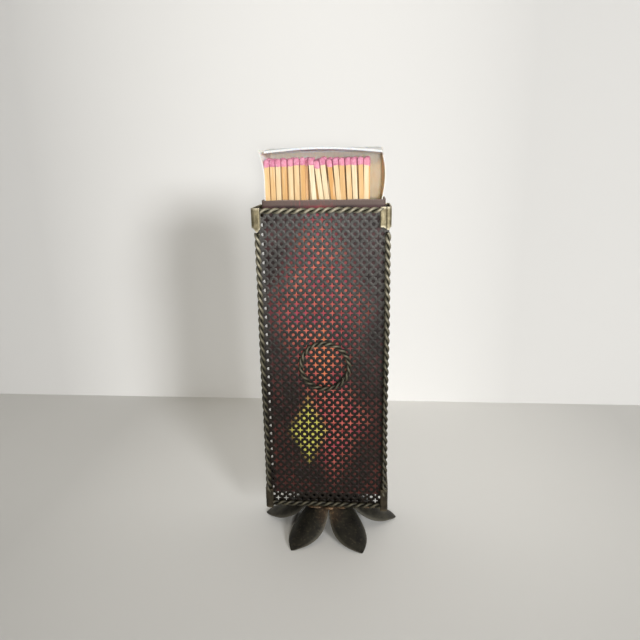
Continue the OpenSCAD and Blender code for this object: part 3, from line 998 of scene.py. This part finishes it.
def add_to_row(bm, make, row, i, **traits):
    """Makes one stick or head by itself, warps it into place and adds it to its row."""
    one = bmesh.new()
    make(one, row, i)
    warp(one.verts, row, i)
    for trait, value in traits.items():
        mark(one, trait, lambda v: value)
    bmesh.ops.recalc_face_normals(one, faces=one.faces)
    mesh = bpy.data.meshes.new("one")
    one.to_mesh(mesh)
    one.free()
    bm.from_mesh(mesh)
    bpy.data.meshes.remove(mesh)


def match_row(row, wood, compound):
    """A row of matches: its sticks are one piece and its heads another."""
    sticks = bmesh.new()
    heads = bmesh.new()
    for i in range(ROW_MATCHES):
        rng = random.Random(19 * row + 3 * i)
        tint = FRONT_TINT[i] if row == 1 else rng.random()
        pale = FRONT_PALE[i] if row == 1 else rng.random() ** 2
        add_to_row(sticks, stick, row, i, tint=tint, pale=pale)
        add_to_row(heads, head, row, i, tint=rng.random())
    add_piece(f"row_{row}_sticks", sticks, wood, "tray", [f"sticks_row_{row}"], 30)
    add_piece(f"row_{row}_heads", heads, compound, "tray", [f"heads_row_{row}"], 60)


def repaint(node, look):
    """Gives a CAD node that keeps its shape a finished material."""
    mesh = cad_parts[node].data
    mesh.materials.clear()
    mesh.materials.append(look)


def build_holder():
    """The holder: panels, edgings, ring, straps, leaves, hub and solder."""
    sheet, wire, band, leaves = pierced_patina(), wire_patina(), strap_patina(), leaf_patina()
    pierced_panel("front_panel", 0.0, sheet)
    pierced_panel("back_panel", math.pi, sheet)
    low, high = HOLDER_LOW + STRAP_H, HOLDER_HIGH - STRAP_H - TONGUE_H
    for seed, (face, y) in enumerate((("front", -EDGING_Y), ("back", EDGING_Y))):
        wires = (
            ("top", (-STRAP_LEG_X, y, EDGING_HIGH), 2 * STRAP_LEG_X, True),
            ("bottom", (-STRAP_LEG_X, y, EDGING_LOW), 2 * STRAP_LEG_X, True),
            ("left", (-EDGING_X, y, low), high - low, False),
            ("right", (EDGING_X, y, low), high - low, False),
        )
        for i, (edge, start, length, level) in enumerate(wires):
            edging(f"{face}_{edge}_wire", start, length, level, wire, 10 * seed + i)
    front_ring(wire)
    top = HOLDER_HIGH - STRAP_H
    strap("top_left_strap", -1, top, band, 3, outer_x=29.1, leg_x=25.4, tongue=2.0)
    strap("top_right_strap", 1, top, band, 5, outer_x=28.1, leg_x=23.5, tongue=1.2, groove=25.7)
    strap("bottom_left_strap", -1, HOLDER_LOW, band, 7, height=9.6)
    strap("bottom_right_strap", 1, HOLDER_LOW, band, 9, height=11.0)
    pointing = ("right", "back_right", "back_left", "left", "front_left", "front_right")
    for i, way in enumerate(pointing):
        leaf(f"leaf_{way}", 60 * i, leaves, i + 1.0)
    repaint("hub", leaves)
    solder_runs(copper_solder())


def build_matchbox():
    """The matchbox: sleeve, striking strips, tray and six rows of matches."""
    sleeve(printed_card())
    strip = striking_strip()
    repaint("left_striker", strip)
    repaint("right_striker", strip)
    tray(tray_card())
    wood, compound = match_wood(), match_heads()
    for row in range(1, ROWS + 1):
        match_row(row, wood, compound)


# The photograph's view

PICTURE_PX = 640
SENSOR_MM = 36
FOCAL_PX = 561.0
CAMERA_AT = Vector((18.55 - FOOT_X, -239.0, 167.0)) * MM
YAW, PITCH, ROLL = (math.radians(angle) for angle in (-5.0, 15.7, -1.0))


def add_camera():
    """The camera: from its yaw, pitch and roll, a little right of the holder and above it."""
    ahead = Vector((math.sin(YAW) * math.cos(PITCH), math.cos(YAW) * math.cos(PITCH), -math.sin(PITCH)))
    right = Vector((math.cos(YAW), -math.sin(YAW), 0))
    up = right.cross(ahead)
    right, up = right * math.cos(ROLL) + up * math.sin(ROLL), up * math.cos(ROLL) - right * math.sin(ROLL)
    camera = bpy.data.objects.new("camera", bpy.data.cameras.new("camera"))
    camera.matrix_world = Matrix.Translation(CAMERA_AT) @ Matrix((right, up, -ahead)).transposed().to_4x4()
    camera.data.sensor_width = SENSOR_MM
    camera.data.lens = FOCAL_PX / PICTURE_PX * SENSOR_MM
    camera.data.clip_start = 0.01
    bpy.context.scene.collection.objects.link(camera)
    bpy.context.scene.camera = camera


# Room and light

WALL_Y = 0.139
WARM = (1.0, 0.92, 0.76)
# The height in metres that the lamps look at
AIM_Z = 0.08


def add_room():
    """A pale table top against a pale wall, each with a painted pool of light that darkens to the sides, and
    painted shade that darkens the table towards the camera.
    """
    # brightest is the middle, in millimetres across, of the pool of light painted on each surface
    for name, albedo, brightest, turn, middle in (
        ("floor", (0.87, 0.865, 0.845), 20.0, 0.0, (0.0, WALL_Y - 1.0, 0.0)),
        ("wall", (0.89, 0.882, 0.865), -45.0, math.radians(90), (0.0, WALL_Y, 1.0)),
    ):
        bm = bmesh.new()
        bmesh.ops.create_grid(bm, x_segments=1, y_segments=1, size=1.0)
        bmesh.ops.scale(bm, vec=(2.0, 1.0, 1.0), verts=bm.verts)
        place = Matrix.Translation(middle) @ Matrix.Rotation(turn, 4, "X")
        bmesh.ops.transform(bm, matrix=place, verts=bm.verts)
        mesh = bpy.data.meshes.new(name)
        bm.to_mesh(mesh)
        bm.free()
        look = Look(name + "_paint")
        mottle = look.noise(60.0, 3)
        x, y, _ = look.axes()
        # Painted light: the colour darkens to the sides of the painted pool of light
        side = abs(x - brightest) / 165.0
        # Painted shade: the table darkens towards the camera
        near = (y * -1.0).rise(-60.0, 260.0)
        at_sides = tuple(0.78 * c for c in albedo)
        at_camera = tuple(0.46 * c for c in albedo)
        colour = look.mix(near, look.mix(side * side, albedo, at_sides), at_camera)
        mesh.materials.append(look.finish(colour, 0.8 + 0.05 * mottle))
        made = bpy.data.objects.new(name, mesh)
        bpy.context.scene.collection.objects.link(made)


def add_lamp(name, azimuth, elevation, distance, size, power, colour):
    """A round soft light that looks at the holder, its azimuth counted from the front to the right."""
    lamp = bpy.data.lights.new(name, "AREA")
    lamp.shape = "DISK"
    lamp.size = size
    lamp.energy = power
    lamp.color = colour
    made = bpy.data.objects.new(name, lamp)
    tilt = Matrix.Rotation(math.radians(90 - elevation), 4, "X")
    turn = Matrix.Rotation(math.radians(azimuth), 4, "Z") @ tilt
    made.matrix_world = Matrix.Translation((0, 0, AIM_Z)) @ turn @ Matrix.Translation((0, 0, distance))
    bpy.context.scene.collection.objects.link(made)


def add_light():
    """A soft window low on the right, a small pale light behind the camera, and a dim warm ceiling."""
    world = bpy.context.scene.world or bpy.data.worlds.new("world")
    bpy.context.scene.world = world
    world.use_nodes = True
    background = world.node_tree.nodes["Background"]
    background.inputs["Color"].default_value = (*WARM, 1.0)
    background.inputs["Strength"].default_value = 0.065
    add_lamp(
        "window", azimuth=34.0, elevation=14.5, distance=1.6, size=0.38, power=17.0,
        colour=(0.985, 0.99, 1.0),
    )
    add_lamp(
        "near_light", azimuth=7.0, elevation=10.5, distance=0.5, size=0.07, power=1.15,
        colour=(1.0, 0.985, 0.94),
    )
    add_lamp("ceiling", azimuth=0.0, elevation=86.0, distance=1.1, size=0.9, power=2.0, colour=WARM)
    bpy.context.scene.view_settings.view_transform = "Standard"


add_camera()
build_holder()
build_matchbox()
add_room()
add_light()
